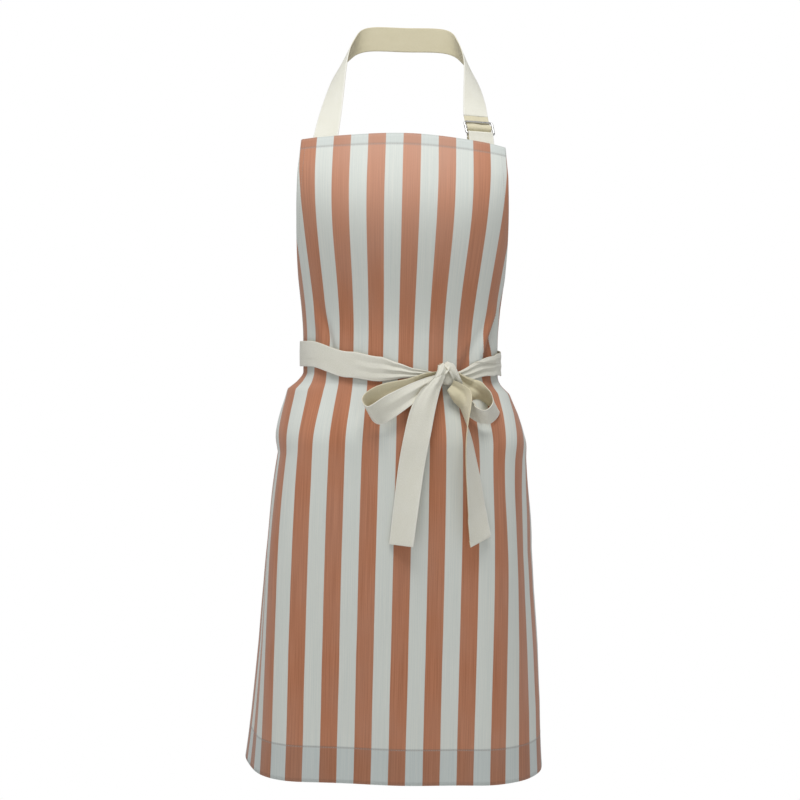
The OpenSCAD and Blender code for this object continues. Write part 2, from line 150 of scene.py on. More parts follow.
def on_form(s, v, d):
    """Point a length s round the form from its middle, a depth v below the bib's
    top and a height d off it. The angle turned is length times curvature, added
    up over the three arcs, and the place is the sum of the arcs' own sines and
    cosines."""
    s, v, d = np.broadcast_arrays(*(np.asarray(q, float) for q in (s, v, d)))
    f = form(v)
    s = np.where(s > WAIST_HALF, s - 2 * WAIST_HALF, s)
    s = np.where(s < -WAIST_HALF, s + 2 * WAIST_HALF, s)
    side, w = np.where(s < 0, -1.0, 1.0), np.abs(s)
    s1, k1, s2, k2, k3 = (f[..., j] for j in (2, 3, 4, 5, 6))
    t1 = np.minimum(w, s1) * k1
    t2 = t1 + np.clip(w - s1, 0, s2 - s1) * k2
    t3 = t2 + np.maximum(w - s2, 0) * k3
    x = np.sin(t1) / k1 + (np.sin(t2) - np.sin(t1)) / k2
    x = x + (np.sin(t3) - np.sin(t2)) / k3
    y = (1 - np.cos(t1)) / k1 + (np.cos(t1) - np.cos(t2)) / k2
    y = y + (np.cos(t2) - np.cos(t3)) / k3
    y = y - f[..., 1] - d * np.cos(t3)
    return np.stack([side * (x + d * np.sin(t3)), y, -BIB_DROP - v], -1)


def half_at(v):
    """Half of the panel's flat width: a quarter of an ellipse at each armhole."""
    dip = np.sqrt(np.clip(1 - (np.asarray(v, float) / BIB_LEN) ** 2, 0, 1))
    return HALF_W - (HALF_W - BIB_W / 2) * dip


def ease(t):
    """Smooth step from 0 to 1."""
    t = np.clip(t, 0, 1)
    return t * t * (3 - 2 * t)


def bump(t):
    """Bell curve of height 1 that has faded by t = 2."""
    return np.exp(-np.asarray(t, float) ** 2)


# %% [markdown]
# ## From numbers to meshes
#
# A grid of points becomes a mesh of four-sided faces, in one call and with no loop
# over points. Each piece also gets a UV map in real metres, so that its pattern
# follows the cloth and has its true size.

# %% Mesh from a grid
def mesh_piece(name, grid, uv, material, ring=False):
    """Mesh object from a grid of points, rows by columns, in millimetres. uv is a
    grid in metres, with one more column than the points where ring is true: then
    each row closes on itself and the first and last rows are capped."""
    rows, cols = grid.shape[:2]
    index = np.arange(rows * cols).reshape(rows, cols)
    if ring:
        index = np.concatenate([index, index[:, :1]], 1)
    corners = [index[:-1, :-1], index[1:, :-1], index[1:, 1:], index[:-1, 1:]]
    faces = np.stack(corners, -1).reshape(-1, 4).tolist()
    uvs = [uv[:-1, :-1], uv[1:, :-1], uv[1:, 1:], uv[:-1, 1:]]
    uvs = [np.stack(uvs, -2).reshape(-1, 2)]
    if ring:
        faces += [index[0, :-1].tolist(), index[-1, :-1][::-1].tolist()]
        uvs += [uv[0, :-1], uv[-1, :-1][::-1]]
    points = grid.reshape(-1, 3) / 1000
    mesh = bpy.data.meshes.new(name)
    mesh.from_pydata(points.tolist(), [], faces)
    layer = mesh.uv_layers.new(name="flat")
    layer.data.foreach_set("uv", np.concatenate(uvs).astype(np.float32).ravel())
    if ring and signed_volume(points, faces) < 0:
        mesh.flip_normals()
    mesh.polygons.foreach_set("use_smooth", np.ones(len(faces), bool))
    mesh.materials.append(material)
    piece = bpy.data.objects.new(name, mesh)
    bpy.context.scene.collection.objects.link(piece)
    return piece


def signed_volume(points, faces):
    """Volume inside the four-sided faces, below zero if they face inwards."""
    q = points[np.array([f for f in faces if len(f) == 4])]
    half = np.cross(q[:, 1], q[:, 2]) + np.cross(q[:, 2], q[:, 3])
    return float((q[:, 0] * half).sum() / 6)


def thicken(piece, thickness):
    """Gives a sheet its thickness, half on each side."""
    solid = piece.modifiers.new("thickness", "SOLIDIFY")
    solid.thickness, solid.offset = thickness / 1000, 0
    solid.use_even_offset = False
    return piece

# %% [markdown]
# ## Striped canvas
#
# The canvas is woven from dyed yarn, so a stripe has the same width and the same
# colour on both faces, and it follows the threads wherever the cloth bends. The
# stripes are therefore worked out from the flat distance across the cloth. Single
# yarns vary a little along their length, which shows as fine streaks. The hems,
# where two layers of cloth let less light through, get painted shade that makes
# them darker and cooler. The seam lines are darkened, partly for the thread and
# partly as painted shade, and the top middle of the bib gets a painted highlight.

# %% Node helpers
def new_material(name, roughness, sheen=0.0, metallic=0.0):
    """Material with a Principled shader, whose plain values sit on its sockets."""
    material = bpy.data.materials.new(name)
    material.use_nodes = True
    shader = material.node_tree.nodes["Principled BSDF"]
    shader.inputs["Roughness"].default_value = roughness
    shader.inputs["Metallic"].default_value = metallic
    shader.inputs["Sheen Weight"].default_value = sheen
    shader.inputs["Sheen Roughness"].default_value = 0.55
    return material, material.node_tree, shader


def node(tree, kind, *links, **values):
    """Adds a node, sets its values by name, and links its inputs in order."""
    n = tree.nodes.new("ShaderNode" + kind)
    for key, value in values.items():
        setattr(n, key, value)
    for i, source in enumerate(links):
        if isinstance(source, (int, float, tuple)):
            n.inputs[i].default_value = source
        elif source is not None:
            tree.links.new(source, n.inputs[i])
    return n


def maths(tree, operation, *terms):
    """Output of a Math node on sockets or numbers."""
    return node(tree, "Math", *terms, operation=operation).outputs[0]


def flat_xy(tree):
    """The two flat coordinates of the cloth, in metres."""
    uv = node(tree, "UVMap", uv_map="flat")
    parts = node(tree, "SeparateXYZ", uv.outputs[0])
    return parts.outputs[0], parts.outputs[1]


def noise(tree, x, y, per_x, per_y, detail=2.0, z=0.0):
    """Noise with so many features per metre along each flat coordinate."""
    at = node(tree, "CombineXYZ", maths(tree, "MULTIPLY", x, per_x),
              maths(tree, "MULTIPLY", y, per_y), z)
    n = node(tree, "TexNoise", at.outputs[0])
    n.inputs["Scale"].default_value = 1.0
    n.inputs["Detail"].default_value = detail
    return n.outputs[0]


def mix(tree, share, a, b, blend="MIX"):
    """Colour between a and b."""
    n = node(tree, "Mix", data_type="RGBA", blend_type=blend)
    for socket, value in zip((n.inputs[0], n.inputs[6], n.inputs[7]), (share, a, b)):
        if hasattr(value, "default_value"):
            tree.links.new(value, socket)
        else:
            socket.default_value = value
    return n.outputs[2]


def remap(tree, value, low, high, to_low, to_high, smooth=False):
    """Value between two limits, taken to between two others."""
    n = node(tree, "MapRange", value, low, high, to_low, to_high)
    n.interpolation_type = "SMOOTHSTEP" if smooth else "LINEAR"
    return n.outputs[0]


def ridges(tree, x, per_metre):
    """Smooth ridges across x: a sine between 0 and 1."""
    turn = maths(tree, "MULTIPLY", x, per_metre * 2 * math.pi)
    return maths(tree, "MULTIPLY_ADD", maths(tree, "SINE", turn), 0.5, 0.5)


# %% Canvas material
canvas, tree, shader = new_material("striped_canvas", 0.82, sheen=0.25)
x, y = flat_xy(tree)
wander = maths(tree, "MULTIPLY_ADD", noise(tree, x, y, 40, 9), 0.0012, x)
across = maths(tree, "MULTIPLY", maths(tree, "SUBTRACT", wander, 0.0006),
               1000 / STRIPE)
saw = maths(tree, "FRACT", across)
edge = maths(tree, "ABSOLUTE", maths(tree, "SUBTRACT", saw, 0.25))
edge = maths(tree, "MINIMUM", edge,
             maths(tree, "ABSOLUTE", maths(tree, "SUBTRACT", saw, 1.25)))
is_orange = remap(tree, edge, 0.242, 0.258, 1, 0, smooth=True)
streak = noise(tree, x, y, 900, 9, 3)
slub = noise(tree, x, y, 1500, 70, 2, 3.7)
cloud = noise(tree, x, y, 14, 9, 2, 9.1)
# painted highlight: the orange is painted paler towards the top middle of the bib,
# standing in for the glare of the key light there
painted_glare_top = remap(tree, y, -0.26, -0.01, 0, 1, smooth=True)
orange = mix(tree, remap(tree, streak, 0.3, 0.7, 0, 1), (0.41, 0.148, 0.064, 1),
             (0.55, 0.218, 0.108, 1))
painted_glare_middle = remap(tree, maths(tree, "ABSOLUTE", x), 0.05, 0.13, 0.45, 0.12,
                     smooth=True)
orange = mix(tree, maths(tree, "MULTIPLY", painted_glare_top, painted_glare_middle), orange,
             (0.72, 0.42, 0.31, 1))
white = mix(tree, remap(tree, streak, 0.3, 0.7, 0, 1), (0.655, 0.70, 0.662, 1),
            (0.745, 0.77, 0.715, 1))
colour = mix(tree, is_orange, white, orange)
colour = mix(tree, remap(tree, cloud, 0.35, 0.65, 0, 0.07), colour,
             (0.60, 0.57, 0.53, 1))
# painted shade: the hem bands are painted darker and cooler, standing in for the shade
# where two layers let less light through
painted_hem_shade = remap(tree, y, -(PANEL_LEN - BOTTOM_HEM - 1) / 1000,
               -(PANEL_LEN - BOTTOM_HEM + 1) / 1000, 0, 1)
painted_top_hem_shade = remap(tree, y, -(TOP_HEM + 1) / 1000, -(TOP_HEM - 1) / 1000, 0, 0.6)
painted_hem_shade = maths(tree, "MAXIMUM", painted_hem_shade, painted_top_hem_shade)
painted_shade_colour = mix(tree, 1.0, colour, (0.83, 0.86, 0.89, 1), "MULTIPLY")
colour = mix(tree, painted_hem_shade, colour, painted_shade_colour)


def seam_line(y, depth, half_width):
    """1 on a line of stitching at that depth, and 0 away from it."""
    off = maths(tree, "ABSOLUTE", maths(tree, "ADD", y, depth / 1000))
    return remap(tree, off, 0, half_width / 1000, 1, 0, smooth=True)


seam_groove_and_shade = maths(tree, "MAXIMUM", seam_line(y, BOTTOM_SEAM, 2.4),
              seam_line(y, TOP_SEAM, 2.8))
# partly thread colour and partly painted shade: the colour is darkened along the seam
# lines, standing in for the shade in the sewn groove; the groove itself is the bump
# below
colour = mix(tree, maths(tree, "MULTIPLY", seam_groove_and_shade, 0.3), colour,
             (0.30, 0.27, 0.25, 1))
tree.links.new(colour, shader.inputs["Base Color"])
weave = maths(tree, "MULTIPLY", ridges(tree, x, 1100), ridges(tree, y, 900))
height = maths(tree, "ADD", maths(tree, "MULTIPLY", weave, 0.35),
               maths(tree, "MULTIPLY", slub, 0.9))
height = maths(tree, "SUBTRACT", height, maths(tree, "MULTIPLY", seam_groove_and_shade, 1.6))
relief = node(tree, "Bump", 0.35, 0.0006)
tree.links.new(height, relief.inputs["Height"])
tree.links.new(relief.outputs[0], shader.inputs["Normal"])
print("canvas: stripes", STRIPE / 2, "mm wide")

# %% [markdown]
# ## Cotton tape
#
# The ties and the neck strap are herringbone tape: rows of twill that lean one
# way and then the other. The pattern runs along the tape, so it reads the tape's
# own two coordinates. The first goes round the tape, so the front face is its
# first 35 mm, and the back face is painted darker and warmer: painted shade with
# the warm light that the tape bounces onto its own inner faces.

# %% Tape material
tape_cotton, tree, shader = new_material("cotton_tape", 0.85, sheen=0.3)
x, y = flat_xy(tree)
zigzag = maths(tree, "PINGPONG", x, 0.0044)
twill = ridges(tree, maths(tree, "ADD", y, zigzag), 620)
fleck = noise(tree, x, y, 900, 420, 3)
patch = noise(tree, x, y, 60, 35, 2, 4.2)
colour = mix(tree, twill, (0.75, 0.74, 0.625, 1), (0.90, 0.89, 0.79, 1))
colour = mix(tree, remap(tree, fleck, 0.35, 0.65, 0, 0.22), colour,
             (0.64, 0.61, 0.50, 1))
colour = mix(tree, remap(tree, patch, 0.3, 0.7, 0, 0.16), colour,
             (0.93, 0.925, 0.88, 1))
# painted shade: the back face is darkened and warmed, as the inner faces look in their
# own shade and bounce light
back = remap(tree, x, (TAPE_W + 0.2) / 1000, (TAPE_W + 1.2) / 1000, 0, 1)
colour = mix(tree, back, colour,
             mix(tree, 1.0, colour, (0.88, 0.82, 0.66, 1), "MULTIPLY"))
selvedge = remap(tree, maths(tree, "ABSOLUTE", maths(tree, "SUBTRACT", x, 0.0175)),
                 0.0158, 0.0168, 0, 1)
selvedge = maths(tree, "MULTIPLY", selvedge,
                 remap(tree, x, (TAPE_W + 0.4) / 1000, (TAPE_W + 0.8) / 1000, 1, 0))
colour = mix(tree, maths(tree, "MULTIPLY", selvedge, 0.5), colour,
             (0.93, 0.92, 0.87, 1))
tree.links.new(colour, shader.inputs["Base Color"])
relief = node(tree, "Bump", 0.5, 0.0005)
tree.links.new(maths(tree, "ADD", twill, maths(tree, "MULTIPLY", fleck, 0.8)),
               relief.inputs["Height"])
tree.links.new(relief.outputs[0], shader.inputs["Normal"])
print("tape", TAPE_W, "mm wide")

# %% Thread and steel
thread, tree, shader = new_material("sewing_thread", 0.6, sheen=0.2)
at = node(tree, "TexCoord").outputs["Object"]
ply = node(tree, "TexNoise", at)
ply.inputs["Scale"].default_value = 900
tree.links.new(mix(tree, ply.outputs[0], (0.36, 0.33, 0.30, 1), (0.48, 0.45, 0.41, 1)),
               shader.inputs["Base Color"])
relief = node(tree, "Bump", 0.3, 0.0002)
tree.links.new(ply.outputs[0], relief.inputs["Height"])
tree.links.new(relief.outputs[0], shader.inputs["Normal"])

steel, tree, shader = new_material("slider_steel", 0.3, metallic=1.0)
at = node(tree, "TexCoord").outputs["Object"]
worn = node(tree, "TexNoise", at)
worn.inputs["Scale"].default_value = 260
tree.links.new(mix(tree, worn.outputs[0], (0.50, 0.50, 0.50, 1), (0.68, 0.68, 0.67, 1)),
               shader.inputs["Base Color"])
tree.links.new(remap(tree, worn.outputs[0], 0.3, 0.7, 0.22, 0.4),
               shader.inputs["Roughness"])
relief = node(tree, "Bump", 0.15, 0.0001)
tree.links.new(worn.outputs[0], relief.inputs["Height"])
tree.links.new(relief.outputs[0], shader.inputs["Normal"])
for name in ("slider_frame", "slider_bar"):
    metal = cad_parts[name]
    metal.data.materials.clear()
    metal.data.materials.append(steel)
print("thread and steel are ready")

# %% [markdown]
# ## The panel
#
# The panel is one piece of cloth. It could be draped by simulation over a hidden
# figure, but its shape is known row by row, so it is placed straight on the form.
# What a figure can't give is added as gentle relief: ripples where the ties gather
# the waist, a fold that the right tie pulls across, soft waves in the skirt, and
# the bib's corners, which droop outside the strap.

# %% Fullness at the sides
FULLNESS = np.array([
    # depth, left, right
    [0, 2, 1], [45, 5, 6], [110, 2, 5], [220, 1, 4], [290, 1, 6], [320, 0, 7],
    [326, 4, 9], [342, 18, 20], [368, 12, 19], [400, 3, 15], [430, -7, 11],
    [484, -8, 8], [560, -10, 5], [620, -10, 7], [700, -8, 13], [780, -4, 17],
    [872, 0, 18]])


def fullness(u, v):
    """Extra height off the form at a side of the cloth, from straight runs
    between the rows above. It fades towards the front, and by the waist towards
    the back."""
    left, right = (np.interp(v, FULLNESS[:, 0], FULLNESS[:, i]) for i in (1, 2))
    away = np.abs(u)
    start = 95 + 65 * ease((v - 330) / 250)
    share = ease((away - start) / np.where(v < 300, 70, 100))
    waist = 1 - ease((v - 400) / 150)
    share = share * (1 - waist * ease((away - 240) / 70) * ease((v - 250) / 40))
    return share * np.where(u < 0, left, right)


# %% Relief of the cloth
def relief_at(u, v):
    """Height off the form, shift round it and shift down it, in millimetres, for
    a place of the panel. Ripples are cosines that fade away from the waist; a
    fold is a bell curve beside its own slope, along a slanting line."""
    near = np.exp(-(((v - 318) / 46) ** 2))
    wave = np.cos(u / 7.1 + 0.6 * np.sin(u / 31)) + 0.6 * np.cos(u / 11.3 + 1.1)
    d = near * 0.75 * (wave - 1.6)
    below = ease((v - 345) / 130)
    d = d - below * 2.2 * (1 - np.cos(u / 26 + 0.8 * np.sin(v / 210)))
    shift = np.zeros_like(u)
    for u0, v0, slant, tall, wide, push in (
        (146.0, 268.0, -0.42, 6.0, 9.0, -7.0),
        (-128.0, 272.0, 0.30, 4.0, 9.0, 5.0),
        (96.0, 300.0, -0.55, 1.8, 8.0, -1.5),
        (-70.0, 392.0, 0.5, 1.6, 16.0, 0.0),
        (118.0, 372.0, -0.5, 2.2, 13.0, -1.0),
    ):
        off = (u - u0 - slant * (v - v0)) / wide
        fade = np.exp(-(((v - v0) / 42) ** 2))
        d = d + fade * tall * (bump(off) - 1.25 * bump(off - 1.5)) - fade * 0.6
        shift = shift + fade * push * bump(off * 0.6)
    d = d + fullness(u, v)
    shift = shift - 15 * ease((u - 110) / 90) * bump((v - 430) / 90)
    shift = shift + 9 * ease((u - 245) / 25) * ease((v - 520) / 80) * (
        1 - ease((u - 290) / 50))
    sag = np.exp(-np.clip(v, 0, None) / 70)
    down = sag * (np.abs(u) / 140) ** 2.4 * np.where(u > 0, 10.0, 5.5)
    down = down - sag * 3.0 * bump(u / 62)
    return d, shift, down


def on_cloth(u, v, d):
    """Point of the panel at a flat distance u, a depth v and a height d off it."""
    u, v, d = np.broadcast_arrays(*(np.asarray(q, float) for q in (u, v, d)))
    lift, shift, down = relief_at(u, v)
    return on_form((u + shift) * form(v)[..., 7], v + down, d + lift)


# %% Panel
EDGE = 0.8
rows = np.concatenate([np.linspace(EDGE, 250, 64), np.linspace(253.5, 400, 46),
                       np.linspace(404, PANEL_LEN - EDGE, 92)])
near_corner = BIB_LEN * np.sin(np.radians(np.linspace(78, 90, 12)))
rows = np.unique(np.concatenate([rows, near_corner]).round(2))
columns = np.linspace(-1, 1, 193)
v = np.repeat(rows[:, None], len(columns), 1)
u = columns * (half_at(v) - EDGE)
panel = mesh_piece("striped_panel", on_cloth(u, v, CLOTH / 2),
                   np.stack([u, -v], -1) / 1000, canvas)
thicken(panel, CLOTH)
print("panel:", len(rows), "rows of", len(columns), "points")

# %% [markdown]
# ## Turned hems
#
# Each raw edge is folded to the back and sewn. A hem is the same cloth carried on
# round a tight bend, so it is a strip whose profile runs in from the edge, and its
# flat coordinates run on past the edge, which keeps the stripes in line.

# %% Hem strips
def fold_profile(depth):
    """Distance in from the edge, height and flat distance past the edge, along a
    hem: straight behind the cloth, then half a turn round the edge."""
    turn = np.linspace(0, math.pi, 9)
    radius = (CLOTH + 0.1) / 2
    inward = np.concatenate([np.linspace(depth, EDGE + 1, 5),
                             EDGE - radius * np.sin(turn)])
    height = np.concatenate([np.full(5, -1.3), -radius * (1 + np.cos(turn))])
    past = np.concatenate([-np.linspace(depth, EDGE + 1, 5),
                           -EDGE + 2 * EDGE * turn / math.pi])
    return inward, height + CLOTH / 2, past


def hem_strip(name, edge_u, edge_v, in_u, in_v, depth, deeper=0.0):
    """Strip along an edge whose points and inward directions are given in the
    flat cloth. deeper sets its inner layer further back, over another hem."""
    inward, height, past = (q[None, :] for q in fold_profile(depth))
    eu, ev, nu, nv = (q[:, None] for q in (edge_u, edge_v, in_u, in_v))
    back = np.clip((CLOTH / 2 - height) / 1.3, 0, 1)
    height = height - np.asarray(deeper).reshape(-1, 1) * back
    points = on_cloth(eu + nu * inward, ev + nv * inward, height)
    uv = np.stack([eu + nu * past, -(ev + nv * past)], -1) / 1000
    if signed_side(points, height) < 0:
        points, uv = points[::-1], uv[::-1]
    return thicken(mesh_piece(name, points, uv, canvas), CLOTH)


def signed_side(points, height):
    """Above zero where the strip's last column, on the outer face, faces out."""
    along = points[1:, -1] - points[:-1, -1]
    over = points[:-1, -1] - points[:-1, -2]
    return float(np.cross(along, over)[:, 1].sum())


hems = []
OVER_HEM = 1.35
u = np.linspace(-1, 1, 181) * (half_at(0.0) - EDGE)
ends = OVER_HEM * ease((np.abs(u) - half_at(0.0) + 15) / 5)
hems.append(hem_strip("top_hem_fold", u, 0 * u, 0 * u, 0 * u + 1, TOP_HEM, ends))
u = np.linspace(-1, 1, 301) * (HALF_W - EDGE)
ends = OVER_HEM * ease((np.abs(u) - HALF_W + 15) / 5)
hems.append(hem_strip("bottom_hem_fold", u, 0 * u + PANEL_LEN, 0 * u, 0 * u - 1,
                      BOTTOM_HEM, ends))
reach = HALF_W - BIB_W / 2
angle = np.radians(np.linspace(0.2, 89.5, 121))
down = np.linspace(BIB_LEN + EDGE, PANEL_LEN - EDGE, 141)
for side, sign in (("left", -1), ("right", 1)):
    nu, nv = -np.cos(angle) / reach, np.sin(angle) / BIB_LEN
    size = np.hypot(nu, nv)
    hems.append(hem_strip(
        side + "_armhole_fold", sign * (HALF_W - reach * np.cos(angle)),
        BIB_LEN * np.sin(angle), sign * nu / size, nv / size, EDGE_HEM))
    hems.append(hem_strip(
        side + "_side_fold", sign * (HALF_W + 0 * down), down, -sign + 0 * down,
        0 * down, EDGE_HEM, OVER_HEM * ease((BIB_LEN + 16 - down) / 5)))
print("hems:", [h.name for h in hems])

# %% [markdown]
# ## Tape
#
# A tape is a flat band of constant width, so it is a rounded rectangle carried
# along a path. Where a tape is pulled into a knot it can't get narrower: its spare
# width goes into folds along it. The width at each place says how deep those folds
# are.

# %% Tape along a path
def smooth_path(keys, n):
    """Curve through keys, with n points to each stretch. Between two keys it is a
    cubic whose slope at a key is half the step from the key before to the one
    after."""
    k = np.asarray(keys, float)
    k = np.concatenate([k[:1], k, k[-1:]])
    a, b, c, e = (k[i: len(k) - 3 + i, None] for i in range(4))
    t = np.linspace(0, 1, n, endpoint=False)[None, :, None]
    curve = b + t / 2 * (c - a + t * (2 * a - 5 * b + 4 * c - e
                                      + t * (3 * (b - c) + e - a)))
    return np.concatenate([curve.reshape(-1, k.shape[1]), k[-1:]])


def unit(a):
    return a / np.linalg.norm(a, axis=-1, keepdims=True)


def tape_piece(name, place, along, width, pleats=1.4, phase=0.0, lift=0.0,
               soft=0.5):
    """Tape whose section is a rounded rectangle. place(x, d) gives the points for
    distances x across it and d off its front. Its folds are a wave across it, as
    high as takes up the width that is missing, times soft where the tape is
    rolled as well. lift raises the folds clear."""
    half = 17
    c = np.linspace(-1, 1, 2 * half + 1)
    c = np.concatenate([c, [1.02], c[::-1], [-1.02]])[None, :]
    d = np.repeat([1, 0, -1, 0], [2 * half + 1, 1, 2 * half + 1, 1])[None, :]
    width = np.broadcast_to(np.asarray(width, float), (len(along),))[:, None]
    missing = np.clip(TAPE_W / width, 1, 3) - 1
    tall = width / (2 * math.pi * pleats) * 1.7 * soft * np.sqrt(missing)
    angle = math.pi * pleats * c + phase
    wave = np.sin(angle) - 0.12 * np.sin(3 * angle)
    fade = 1 - 0.35 * c**2
    x = c * (width / 2 - 0.3)
    height = d * TAPE_T / 2 + tall * fade * (wave + lift)
    points = place(x, height)
    around = np.concatenate([np.linspace(0, TAPE_W, 2 * half + 1), [TAPE_W + 0.7],
                             np.linspace(TAPE_W + 1.4, 2 * TAPE_W + 1.4,
                                         2 * half + 1), [2 * TAPE_W + 2.1],
                             [2 * TAPE_W + 2.8]]) / 1000
    uv = np.stack(np.broadcast_arrays(around[None, :], along[:, None] / 1000), -1)
    return mesh_piece(name, points, uv, tape_cotton, ring=True)


def length_along(middle):
    """Distance from the first point to each point."""
    step = np.linalg.norm(np.diff(middle, axis=0), axis=1)
    return np.concatenate([[0], np.cumsum(step)])


def tape_on_path(name, middle, across, width, front, **folds):
    """Tape whose middle and direction across are given. Its face points along
    the path's direction crossed with the direction across, times front."""
    way = np.gradient(middle, axis=0)
    across = unit(across)
    out = front * unit(np.cross(way, across))

    def place(x, d):
        return (middle[:, None] + x[..., None] * across[:, None]
                + d[..., None] * out[:, None])

    return tape_piece(name, place, length_along(middle), width, **folds)


# %% [markdown]
# ## Neck strap and slider
#
# The strap is one tape, sewn behind one corner of the bib. It goes round the nape
# and through a wire slider, which a short tab holds at the other corner. Three
# pieces share it, because its lower end turns with the slider. The strap leans
# with the slider, so its path there is drawn in the slider's own plane.

# %% The slider's own directions
lean = math.radians(LEAN)
normal = on_form(STRAP_X, 0, 1) - on_form(STRAP_X, 0, 0)
SIDEWAYS = unit(np.array([-normal[1], normal[0], 0]))
BACKWARDS = -unit(np.array([normal[0], normal[1], 0]))
UPWARDS = math.cos(lean) * np.array([0, 0, 1]) + math.sin(lean) * BACKWARDS
INWARDS = math.cos(lean) * BACKWARDS - math.sin(lean) * np.array([0, 0, 1])
PIVOT = on_form(STRAP_X, 0, -4.8) + TAB_RISE * UPWARDS


def at_slider(y, z):
    """Point a distance y behind the slider's bottom bar and z up along it."""
    return (PIVOT + np.asarray(y)[..., None] * INWARDS
            + np.asarray(z)[..., None] * UPWARDS)


print("slider pivot", PIVOT.round(2), "across", SIDEWAYS.round(4))

# %% Neck strap, tab and strap end
inner = np.array([SIDEWAYS[0], -SIDEWAYS[1], 0])
side = STRAP_X - 14
BEHIND = -3.8
foot = on_form(-STRAP_X, np.array([28.0, 21, 14, 7]), BEHIND)
keys = np.array([
    [*on_form(-STRAP_X, 0, BEHIND), *inner],
    [-side, -55, -61, 0.62, -0.2, 0.76],
    [-side + 14, -20, -22, 0.3, -0.1, 0.95],
    [-side + 36, -3, -2, 0.08, 0, 1],
    [0, 0.7, 0, 0, 0, 1],
    [side - 36, -3, -2, -0.08, 0, 1],
    [side - 14, -20, -22, -0.3, -0.1, 0.95],
    [side, -55, -61, -0.62, -0.2, 0.76],
    [*at_slider(2.6, SLIDER_H + 13), *-SIDEWAYS],
])
path = smooth_path(keys, 18)
path = np.concatenate([np.concatenate([foot, 0 * foot + inner], 1), path])
neck_strap = tape_on_path("neck_strap_tape", path[:, :3], path[:, 3:], TAPE_W, -1)


def slider_path(keys, n):
    """Middle of a tape whose keys lie in the slider's own plane."""
    k = smooth_path(keys, n)
    return at_slider(k[:, 0], k[:, 1])


def behind_bib(v, d):
    """Place in the slider's plane of a point behind the bib, at depth v."""
    p = on_form(STRAP_X, v, d) - PIVOT
    return np.stack([p @ INWARDS, p @ UPWARDS], -1)


bend = np.radians(np.arange(-30, 211, 12))
radius = WIRE / 2 + 0.35 + TAPE_T / 2
tab = np.concatenate([
    behind_bib(np.array([28.0, 19, 10, 2]), -4.3),
    np.stack([-radius * np.cos(bend), radius * np.sin(bend)], -1),
    behind_bib(np.array([2.0, 10, 19, 28]), -6.1)])
middle = at_slider(tab[:, 0], tab[:, 1])
slider_tab = tape_on_path("slider_tab_tape", middle, 0 * middle + SIDEWAYS,
                          TAPE_W, -1)
h, half_h = SLIDER_H, SLIDER_H / 2
middle = slider_path([
    [2.6, h + 12.6], [2.6, h + 5], [2.55, h], [1.2, h - 3.6], [-1.2, half_h + 3.4],
    [-2.4, half_h], [-1.4, half_h - 2.9], [1.8, half_h - 5.2], [4.2, 2.4],
    [4.9, -0.6]], 10)
threaded = tape_on_path("strap_through_slider", middle, 0 * middle + SIDEWAYS,
                        TAPE_W - 0.6, -1)
top = at_slider(5.3, -1.5)
fall = np.array([0, 8, 25, 50, 75, 95, 104, 107, 108.3, 108.8, 108.3, 107, 100, 97.0])
curl = np.array([0, 0, 0, 0, 0, 0, 0, 0, 0.1, 0.75, 1.4, 1.5, 1.5, 1.5])
middle = top - fall[:, None] * [0, 0, 1] + curl[:, None] * BACKWARDS
strap_end = tape_on_path("strap_end_tape", middle, 0 * middle + SIDEWAYS,
                         TAPE_W - 0.6, -1)
print("strap", round(float(length_along(path[:, :3])[-1])), "mm to the slider")

# %% [markdown]
# ## Waist ties
#
# Each tie is sewn to its own corner, crosses the other behind the back, and comes
# forward to the bow. It lies on the form all the way, so its points are found from
# the distance round the form and the depth. Towards the bow it is pulled into
# folds, and its edges draw together.

# %% Waist ties
CORNER_V, SIDE_V = BIB_LEN + 31, BIB_LEN - 8
SEAT = CLOTH + 0.9


def stepped(s, keys):
    """Value at s between keys, eased by half a cosine from each to the next."""
    keys = np.asarray(keys, float)
    i = np.clip(np.searchsorted(keys[:, 0], s, side="right") - 1, 0, len(keys) - 2)
    t = np.clip((s - keys[i, 0]) / (keys[i + 1, 0] - keys[i, 0]), 0, 1)
    t = (1 - np.cos(math.pi * t)) / 2
    return keys[i, 1] + t * (keys[i + 1, 1] - keys[i, 1])


def waist_tie(name, g, start, depths, rise, widths, phase):
    """Tie from the knot round one side, behind, to its corner. Its height off the
    form is the seat, plus a rise where it lies over the other tie behind."""
    last = 2 * WAIST_HALF - WAIST_EDGE + 30
    s = np.concatenate([np.linspace(start, start + 160, 110, endpoint=False),
                        np.linspace(start + 160, last, 150)])
    depth, width = stepped(s, depths), np.interp(s, *np.transpose(widths))
    hop = SEAT + rise * ease((s - WAIST_EDGE - 2) / 8) * ease(
        (2 * WAIST_HALF - WAIST_EDGE - 2 - s) / 8)

    def place(x, d):
        around, v = g * s[:, None] + 0 * x, depth[:, None] + x
        lift = np.where(s[:, None] < WAIST_EDGE, fullness(around / GATHER, v), 0)
        return on_form(around, v, hop[:, None] + TAPE_T / 2 + d + lift)

    return tape_piece(name, place, s - start, width, 2.5, phase, lift=1.0)


